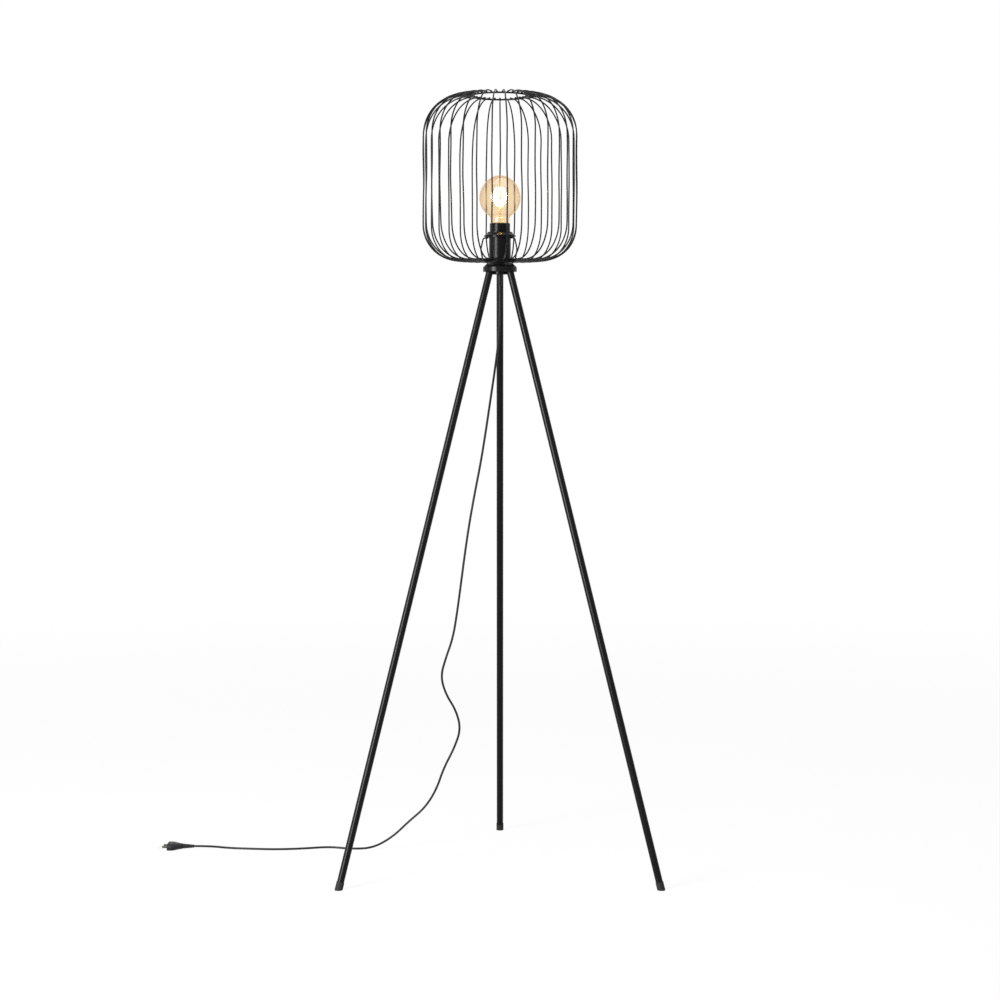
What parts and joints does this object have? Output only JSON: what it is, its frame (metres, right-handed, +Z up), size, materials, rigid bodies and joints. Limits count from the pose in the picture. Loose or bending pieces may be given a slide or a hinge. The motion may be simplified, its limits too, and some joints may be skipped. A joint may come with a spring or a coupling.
{
  "type": "wire cage floor lamp",
  "caption": "Floor lamp with a rounded wire cage shade round a screw-in globe bulb, on a turned head and three splayed tube legs, with a mains cord.",
  "frame": {"origin": "on the floor under the lamp's upright axis, midway between the three feet", "axes": "+Z up along the lamp's axis, +Y towards the rear leg, +X to the right as seen from the front, -X the side the cord runs to"},
  "size_m": [0.998, 0.5355, 1.491],
  "materials": {
    "black_paint": "satin powder coat, fine texture",
    "foot_rubber": "matt moulded rubber",
    "cast_metal": "cast zinc, painted black",
    "black_moulding": "satin moulded thermoplastic",
    "cord_jacket": "soft satin jacket",
    "zinc_steel": "zinc plated",
    "brass": "bright stamped brass",
    "nickel_plate": "nickel plated",
    "ceramic": "glazed white ceramic",
    "core_insulation": "soft insulation",
    "amber_glass": "thin amber tinted glass",
    "stem_glass": "clear glass stem",
    "black_glass": "dark glass insulator",
    "filament_coat": "phosphor coated, glows warm white",
    "support_wire": "thin gilt drawn wire"
  },
  "bodies": {
    "stand": {"bottom_ring": "black_paint", "cage_wires_01": "black_paint", "cage_wires_02": "black_paint", "cage_wires_03": "black_paint", "cage_wires_04": "black_paint", "cage_wires_05": "black_paint", "cage_wires_06": "black_paint", "cage_wires_07": "black_paint", "cage_wires_08": "black_paint", "cage_wires_09": "black_paint", "cage_wires_10": "black_paint", "cage_wires_11": "black_paint", "carrier_arms": "black_paint", "carrier_ring": "black_paint", "centre_contact": "brass", "ceramic_insert": "ceramic", "contact_rivets": "brass", "cord": "cord_jacket", "cord_gland": "black_moulding", "cord_relief": "cord_jacket", "core_nut": "zinc_steel", "foot_left": "foot_rubber", "foot_rear": "foot_rubber", "foot_right": "foot_rubber", "holder_base": "black_moulding", "holder_sleeve": "black_moulding", "hub_core": "cast_metal", "hub_shell": "black_paint", "lead_cores": "core_insulation", "lead_in_hub": "cord_jacket", "leg_inserts": "zinc_steel", "leg_left": "black_paint", "leg_rear": "black_paint", "leg_right": "black_paint", "leg_studs": "zinc_steel", "nipple": "zinc_steel", "plug_body": "cord_jacket", "plug_pins": "nickel_plate", "plug_relief": "cord_jacket", "screw_shell": "brass", "shell_nut": "zinc_steel", "shell_washer": "zinc_steel", "side_contact": "brass", "terminal_blocks": "brass", "terminal_screws": "zinc_steel", "top_ring": "black_paint"},
    "shade_ring": {"shade_ring": "black_moulding"},
    "bulb": {"bulb_cap": "nickel_plate", "bulb_contact": "nickel_plate", "bulb_filaments": "filament_coat", "bulb_glass": "amber_glass", "bulb_insulator": "black_glass", "bulb_stem": "stem_glass", "bulb_supports": "support_wire"}
  },
  "joints": [
    {"name": "shade_ring_turn", "type": "hinge", "parent": "stand", "child": "shade_ring", "pos_m": [0, 0, 1.2206], "axis": [0, 0, 1], "range_deg": [0, 1080]},
    {"name": "bulb_lift", "type": "slide", "parent": "stand", "child": "bulb", "axis": [0, 0, 1], "range_m": [0, 0.3]}
  ]
}
